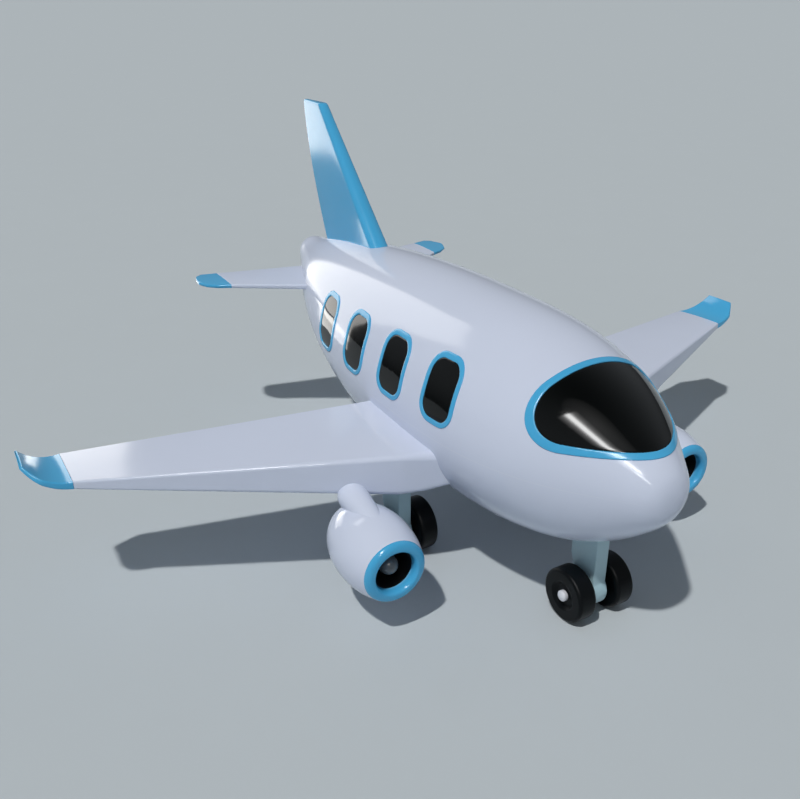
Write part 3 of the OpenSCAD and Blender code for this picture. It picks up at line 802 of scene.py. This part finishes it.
# %% [markdown]
# ## The engines
# Everything on an engine is round, so each piece is a profile turned about the engine's axis:
# the white nacelle, the blue ring in its mouth, the black bowl behind the ring and the grey
# dome. The pylon is a short tapered finger, round at both ends, laid between wing and nacelle.

# %% Profiles of the engine's pieces
ENGINE_X = 57.4
ENGINE_Z = 22.9
NACELLE_R = 12.3
FRONT_R = 9.85
LIP_Y = NOSE_Y + 45.8
WIDEST_NACELLE = LIP_Y + 12.4
BACK_NACELLE = LIP_Y + 31.9
INLET_R = 6.4
DUCT_Y = LIP_Y + 1.2
NACELLE_WALL = 1.4
DOME_R = 2.9
DOME_LENGTH = 3.4
DOME_BASE = LIP_Y + 12


def nacelle_profile(less):
    narrow = 1 - (FRONT_R / NACELLE_R) ** 2
    front = [((NACELLE_R - less) * math.sqrt(1 - ((WIDEST_NACELLE - y) / 12.4) ** 2 * narrow), y)
             for y in np.linspace(LIP_Y, WIDEST_NACELLE, 12)]
    tail = BACK_NACELLE - less - WIDEST_NACELLE
    rear = [((NACELLE_R - less) * math.cos(a), WIDEST_NACELLE + tail * math.sin(a))
            for a in np.radians(np.linspace(0, 90, 28))[1:]]
    return front + rear


inner = nacelle_profile(NACELLE_WALL)
socket_r = inner[0][0] - 0.05
NACELLE = [(max(0.0, r), y) for r, y in nacelle_profile(0)[::-1] + inner]
RING = [(socket_r, DUCT_Y), (socket_r, LIP_Y)] + arc((7.85, LIP_Y), 2.0, 0, -90, 14, 0.85)
RING += arc((7.4, LIP_Y), 1.0, -90, -180, 10, 1.7)
RING += [(INLET_R, DUCT_Y)]
DUCT = [(0.0, LIP_Y + 13.5), (socket_r, LIP_Y + 13.5), (socket_r, DUCT_Y), (INLET_R, DUCT_Y)]
DUCT += arc((INLET_R - 2.4, LIP_Y + 9.6), 2.4, 0, 90, 8) + [(0.0, DOME_BASE)]
DOME = [(0.0, DOME_BASE), (2.2, DOME_BASE), (DOME_R, LIP_Y + 6)]
DOME += arc((0, LIP_Y + 4), DOME_R, 0, -90, 16, DOME_LENGTH / DOME_R)
ENGINE_PIECES = [
    ("nacelle_", NACELLE, "white_shell", "_nacelle"),
    ("inlet_lip_", RING, "blue_trim", "_inlet_ring"),
    ("inlet_bowl_", DUCT, "black_duct", "_inlet_duct"),
    ("spinner_dome_", DOME, "grey_spinner", "_spinner"),
]
PYLON_BACK_R = 4.7
PYLON_FRONT_R = 3.0


# %% A tapered finger between two balls
def finger(name, start, start_r, end, end_r, steps=48):
    start, end = Vector(start), Vector(end)
    axis = (end - start).normalized()
    lean = math.asin((start_r - end_r) / (end - start).length)
    rings = []
    for centre, radius, angles in ((start, start_r, np.linspace(-math.pi / 2, lean, 14)),
                                   (end, end_r, np.linspace(lean, math.pi / 2, 14))):
        for a in angles:
            rings.append((centre + axis * (radius * math.sin(a)), radius * math.cos(a)))
    across = axis.orthogonal().normalized()
    other = axis.cross(across)
    turns = np.linspace(0, 2 * math.pi, steps, endpoint=False)
    points = [[middle + (across * math.cos(t) + other * math.sin(t)) * radius for t in turns]
              for middle, radius in rings]
    return mesh_from(name, [[tuple(p) for p in ring] for ring in points], ring_faces(len(rings), steps))


# %% Two engines
for side_name, side in SIDES.items():
    centre = (side * ENGINE_X, 0, ENGINE_Z)
    for name, profile, finish, node in ENGINE_PIECES:
        piece(turned(name + side_name, profile, centre, "y"), finish, [side_name + node], sharp=40)
    back = (side * ENGINE_X, LIP_Y + 25.4, AXIS_HEIGHT - 16.9)
    front = (side * ENGINE_X, LIP_Y + 6.4, AXIS_HEIGHT - 20.2)
    pylon = finger("pylon_finger_" + side_name, back, PYLON_BACK_R, front, PYLON_FRONT_R)
    piece(pylon, "white_shell", [side_name + "_pylon"], sharp=60)
print("two engines,", len(NACELLE), "points in the nacelle's profile")

# %% [markdown]
# ## The landing gear
# Each leg is one flat moulding: a straight block that narrows to a round foot, with every
# edge broken by a small radius. Two one-piece wheels turn on a steel pin through the foot,
# and a pale cap is pressed on each end of the pin. Each wheel rides on a body of its own.

# %% Sizes of the legs
LEG_T = 4.8
LEG_FRONT = 4.3
LEG_BACK = 6.7
LEG_EASE = 0.45
FOOT_R = 5.6
HEEL = 3.6
KNEE_Z = 18.0
WHEEL_GAP = 4.03
WHEEL_W = 6.4
AXLE_R = 1.2
CAP_R = 1.75
DISH = 1.3
LEGS = {
    "nose": (0.0, NOSE_Y + 27.2, 8.5, AXIS_HEIGHT - 17.6),
    "right_main": (-35.2, WIDEST_Y - 14.25, 9.0, AXIS_HEIGHT - 12.5),
    "left_main": (35.2, WIDEST_Y - 14.25, 9.0, AXIS_HEIGHT - 12.5),
}


def leg_outline(y, r, top):
    front_meet = 180 - math.degrees(math.acos(LEG_FRONT / FOOT_R))
    slope = (LEG_BACK - HEEL) / (KNEE_Z - r)
    a, b, c = 1 + slope ** 2, 2 * HEEL * slope, HEEL ** 2 - FOOT_R ** 2
    rise = (-b + math.sqrt(b * b - 4 * a * c)) / (2 * a)
    back_meet = math.degrees(math.atan2(rise, HEEL + slope * rise))
    outline = [(y - LEG_FRONT, top - 4 - k * (top - r - 8) / 8) for k in range(8)]
    outline += arc((y, r), FOOT_R, front_meet, 360 + back_meet, 40)
    outline += [(y + HEEL + (LEG_BACK - HEEL) * k / 4, r + (KNEE_Z - r) * k / 4) for k in (3, 4)]
    outline += [(y + LEG_BACK, KNEE_Z + (top - KNEE_Z) * k / 5) for k in range(1, 5)]
    outline += [(y + LEG_BACK, top), (y - LEG_FRONT, top)]
    return np.array(outline)


def leg_mesh(name, x, outline):
    angles = (90, 67.5, 45, 22.5, 0)
    rings = []
    for side, angle in [(-1, a) for a in angles] + [(1, a) for a in angles[::-1]]:
        a = math.radians(angle)
        place = x + side * (LEG_T / 2 - LEG_EASE + LEG_EASE * math.sin(a))
        shrunk = inset(outline[::-1], LEG_EASE * (1 - math.cos(a)))
        rings.append([(place, y, z) for y, z in shrunk])
    return loft(name, rings)


# %% The legs
for leg, (x, y, r, top) in LEGS.items():
    mesh = leg_mesh("leg_" + leg, x, leg_outline(y, r, top))
    piece(mesh, "grey_strut", [leg + "_strut"], sharp=40)
print(len(LEGS), "legs")


# %% The wheels
def wheel_profile(r):
    rim = 1.1
    outer = [(AXLE_R + 0.05, -1.2), (2.7, -1.2), (2.9, 0.0), (3.4, 0.0)]
    outer += [(r - rim - 0.4, 0.0)] + arc((r - rim, rim), rim, -90, 0, 8)
    outer += arc((r - rim, WHEEL_W - rim), rim, 0, 90, 8)
    outer += [(5.0, WHEEL_W), (4.75, WHEEL_W - 0.03), (4.55, WHEEL_W - 0.12), (4.3, WHEEL_W - 0.35)]
    outer += [(3.5, WHEEL_W - DISH + 0.12), (3.3, WHEEL_W - DISH + 0.02), (3.1, WHEEL_W - DISH)]
    outer += [(AXLE_R + 0.05, WHEEL_W - DISH)]
    return outer


for leg, (x, y, r, top) in LEGS.items():
    for side_name, side in SIDES.items():
        node = leg + "_" + side_name + "_wheel"
        profile = [(radius, place + WHEEL_GAP) for radius, place in wheel_profile(r)]
        mesh = turned("tyre_" + leg + "_" + side_name, profile, (x, y, r), "x", side)
        piece(mesh, "black_wheel", [node], body=node, sharp=40)
print(2 * len(LEGS), "wheels")

# %% [markdown]
# ## The hub caps
# The six caps are one small dome used six times, which is a job for instances: a Geometry
# Nodes tree sets a copy of the dome on each of six points, turned to face outwards, and makes
# the copies real at the end so that they can be exported.

# %% One dome
CAP_FLOOR = WHEEL_GAP + WHEEL_W - DISH + 0.25
dome_profile = [(0.0, 0.8), (AXLE_R, 0.8), (AXLE_R, 0.0), (CAP_R - 0.1, 0.0), (CAP_R, 0.12)]
dome_profile += arc((0, 1.0), CAP_R, 0, 90, 10, 0.9 / CAP_R)
dome = turned("dome_seed", dome_profile, (0, 0, 0), "x", 1, 48)


# %% The tree that repeats it
def repeat_tree():
    tree = bpy.data.node_groups.new("repeat_on_points", "GeometryNodeTree")
    face = tree.interface
    face.new_socket("Points", in_out="INPUT", socket_type="NodeSocketGeometry")
    face.new_socket("Seed", in_out="INPUT", socket_type="NodeSocketObject")
    face.new_socket("Finish", in_out="INPUT", socket_type="NodeSocketMaterial")
    face.new_socket("Copies", in_out="OUTPUT", socket_type="NodeSocketGeometry")
    graph = Graph(tree)
    given = graph.add("NodeGroupInput")
    seed = graph.add("GeometryNodeObjectInfo", {}, {"Object": given.out("Seed")}, output="Geometry")
    turn = graph.add("GeometryNodeInputNamedAttribute", {"data_type": "FLOAT"}, {"Name": "half_turn"})
    angle = graph.add("ShaderNodeCombineXYZ", {}, {"Z": turn * math.pi})
    copies = graph.add("GeometryNodeInstanceOnPoints", {}, {
        "Points": given.out("Points"), "Instance": seed, "Rotation": angle})
    real = graph.add("GeometryNodeRealizeInstances", {}, {"Geometry": copies})
    done = graph.add("GeometryNodeSetMaterial", {}, {"Geometry": real, "Material": given.out("Finish")})
    graph.add("NodeGroupOutput", {}, {"Copies": done})
    return tree


REPEAT = repeat_tree()


def repeated(name, seed_mesh, spots, half_turns, finish):
    mesh = bpy.data.meshes.new(name + "_points")
    mesh.from_pydata([tuple(c * MM for c in spot) for spot in spots], [], [])
    mesh.attributes.new("half_turn", "FLOAT", "POINT").data.foreach_set("value", half_turns)
    seed = bpy.data.objects.new(name + "_seed", seed_mesh)
    bpy.context.scene.collection.objects.link(seed)
    result = baked(name, REPEAT, mesh, {"Seed": seed, "Finish": FINISHES[finish]})
    bpy.data.objects.remove(seed)
    return result


# %% Six caps
spots = [(x + side * CAP_FLOOR, y, r) for x, y, r, _ in LEGS.values() for side in (-1, 1)]
caps = repeated("axle_caps", dome, spots, [1.0, 0.0] * 3, "cap_plastic")
piece(caps, "cap_plastic", [leg + "_hub_caps" for leg in LEGS], sharp=50)
print(len(spots), "caps,", len(caps.polygons), "faces")

# %% [markdown]
# ## Screws in the belly
# Each screw head lies at the top of its hole, in a cup that is the end of the moulded post.
# The head is a flat disc with a broken edge and a round driver recess. The tree that repeats
# the caps sets both on four points.


# %% A screw head in its cup
def upright(mesh):
    mesh.transform(Matrix.Rotation(math.radians(90), 4, "Y"))
    return mesh


SEAT = 2.7
DRIVER_TURNS = [0.1, 0.35, 0.2, 0.45]
head_profile = [(0.0, 0.7), (0.75, 0.6), (0.85, 0.0), (2.45, 0.0), (2.7, 0.1), (2.8, 0.35)]
head_profile += [(2.8, 1.8), (0.0, 1.8)]
head = upright(turned("screw_head", head_profile, (0, 0, 0), "x", -1, 40))
cup_profile = [(1.7, 1.8), (HOLE_R, 1.8), (HOLE_R, -1.6), (4.2, -1.2), (4.2, 3.4), (1.7, 3.4)]
cup = upright(turned("screw_cup", cup_profile, (0, 0, 0), "x", -1, 40))
spots = [(x, y, belly(x, y) + SEAT) for x, y in SCREW_SPOTS]
heads = repeated("screw_heads", head, spots, DRIVER_TURNS, "screw_steel")
piece(heads, "screw_steel", ["belly_screws"], sharp=35)
cups = repeated("screw_cups", cup, spots, [0.0] * len(spots), "white_shell")
piece(cups, "white_shell", [], sharp=35)
print(len(spots), "screws")

# %% [markdown]
# ## Steel rods that stay as engineered
# The spar in the body and the pins through the legs are plain rods in reality too. They keep
# their engineering mesh and get the steel finish.

# %% Steel for the rods
for name in ["wing_spar"] + [leg + "_axle" for leg in LEGS]:
    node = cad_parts[name]
    node.data.materials.clear()
    node.data.materials.append(FINISHES["steel_rod"])

# %% [markdown]
# ## The studio
# The toy stands on a plain pale floor. A small sun, high on the nose's right, gives the short
# clear shadows and is kept out of the reflections. The soft boxes do the opposite: they are
# only seen in the gloss. A tall panel behind gives the long clean reflection down the body and
# a low one the shine in the rear windows. Boxes of growing width, laid over each other, draw
# the soft streak over the windshield, and a thin strip draws the line on the nose below it.


# %% The floor
FLOOR_HALF = 60000.0


def stage_floor():
    corners = [(x * FLOOR_HALF, y * FLOOR_HALF, 0) for x, y in ((-1, -1), (1, -1), (1, 1), (-1, 1))]
    mesh = bpy.data.meshes.new("studio_floor")
    mesh.from_pydata([tuple(c * MM for c in p) for p in corners], [], [(0, 1, 2, 3)])
    obj = bpy.data.objects.new("studio_floor", mesh)
    bpy.context.scene.collection.objects.link(obj)
    mesh.materials.append(plastic("pale_floor", (0.56, 0.61, 0.64), 0.9, wear=0.0, tint=0.01, scratch=0.0,
                                  peel=0.0, specular=0.0))


stage_floor()


# %% Lights that look at the toy
def placed(name, lamp, place, target, upwards=(0, 0, 1)):
    obj = bpy.data.objects.new(name, lamp)
    start = Vector(place) * MM
    away = (start - Vector(target) * MM).normalized()
    across = Vector(upwards).cross(away).normalized()
    turning = Matrix((across, away.cross(across), away)).transposed().to_4x4()
    obj.matrix_world = Matrix.Translation(start) @ turning
    obj.visible_camera = False
    bpy.context.scene.collection.objects.link(obj)
    return obj


def soft_box(name, place, target, wide, high, glow, colour=(1, 1, 1), upwards=(0, 0, 1),
             shape="RECTANGLE"):
    lamp = bpy.data.lights.new(name, "AREA")
    lamp.shape = shape
    lamp.size = wide * MM
    lamp.size_y = high * MM
    lamp.energy = glow * math.pi * lamp.size * lamp.size_y
    lamp.color = colour
    placed(name, lamp, place, target, upwards).visible_diffuse = False


# %% The sun
key = bpy.data.lights.new("key_light", "SUN")
key.energy = 2.0
key.angle = math.radians(2)
key.color = (1.0, 0.99, 0.97)
placed("key_light", key, (-500, -280, 1000), (0, 0, 0)).visible_glossy = False

# %% The soft boxes
WARM_WHITE = (1.0, 0.98, 0.94)
PANEL_GLOW = 3.4
STREAK_PLACE = (-320, -350, 647)
STREAK_AIM = (-12, -93, 68)
STREAK_ALONG = (-0.026, 0.948, 0.318)
STREAK_LENGTH = 350
STRIP_PLACE = (-328, -562, 470)
STRIP_AIM = (-8, -107, 60)
STRIP_ALONG = (-0.31, 0.75, 0.58)
GLOW_PLACE = (-170, -320, 720)
GLOW_AIM = (-10, -92, 70)
soft_box("panel_behind", (-185, 690, 395), (-185, 0, 395), 354, 790, PANEL_GLOW, WARM_WHITE)
soft_box("panel_low", (-84, 175, 45), (-84, 0, 45), 56, 32, PANEL_GLOW, WARM_WHITE)
for width, shine in ((50, 26.0), (80, 16.0), (120, 7.0), (180, 2.5), (240, 1.0)):
    soft_box("streak_" + str(width), STREAK_PLACE, STREAK_AIM, width, STREAK_LENGTH, shine,
             upwards=STREAK_ALONG)
soft_box("thin_strip", STRIP_PLACE, STRIP_AIM, 24, 215, 40.0, upwards=STRIP_ALONG)
for width in range(60, 500, 44):
    soft_box("glow_" + str(width), GLOW_PLACE, GLOW_AIM, width, width,
             0.06 + (504 - width) / 800, shape="DISK")
print(len(bpy.data.lights), "lights")

# %% [markdown]
# ## The surroundings
# Gloss needs something to mirror. The sky is dark at the horizon and overhead and lighter half
# way up, so the black windows stay black and the white body keeps soft edges.

# %% A sky with a soft middle band
SKY_FLOOR = 0.05
world = bpy.data.worlds.new("studio")
bpy.context.scene.world = world
world.use_nodes = True
sky = Graph(world.node_tree)
way = sky.add("ShaderNodeTexCoord", output="Generated")
height = sky.add("ShaderNodeSeparateXYZ", {}, {"Vector": way}, output="Z")
glow = SKY_FLOOR + at_least_zero(height) * (1 - height)
background = world.node_tree.nodes["Background"]
background.inputs["Color"].default_value = (0.86, 0.93, 1.0, 1.0)
sky.feed(background.inputs["Strength"], glow)
bpy.context.scene.view_settings.view_transform = "Standard"

# %% [markdown]
# ## The camera
# The camera looks down at the nose from the toy's right, with a normal lens.

# %% The camera
CAMERA_PLACE = Vector((-158.382, -245.100, 173.260)) * MM
CAMERA_TURN = math.radians(-29.9085)
CAMERA_RISE = math.radians(25.1629)
lens = bpy.data.cameras.new("camera")
lens.sensor_width = 36.0
lens.lens = 39.486
lens.clip_start = 0.01
lens.clip_end = 200.0
camera = bpy.data.objects.new("camera", lens)
back = Vector((math.sin(CAMERA_TURN) * math.cos(CAMERA_RISE), -math.cos(CAMERA_TURN) * math.cos(CAMERA_RISE),
               math.sin(CAMERA_RISE)))
right = Vector((math.cos(CAMERA_TURN), math.sin(CAMERA_TURN), 0))
up = back.cross(right)
turning = Matrix((right, up, back)).transposed().to_4x4()
camera.matrix_world = Matrix.Translation(CAMERA_PLACE) @ turning
bpy.context.scene.collection.objects.link(camera)
bpy.context.scene.camera = camera

# %% Bringing the scene up to date
bpy.context.view_layer.update()
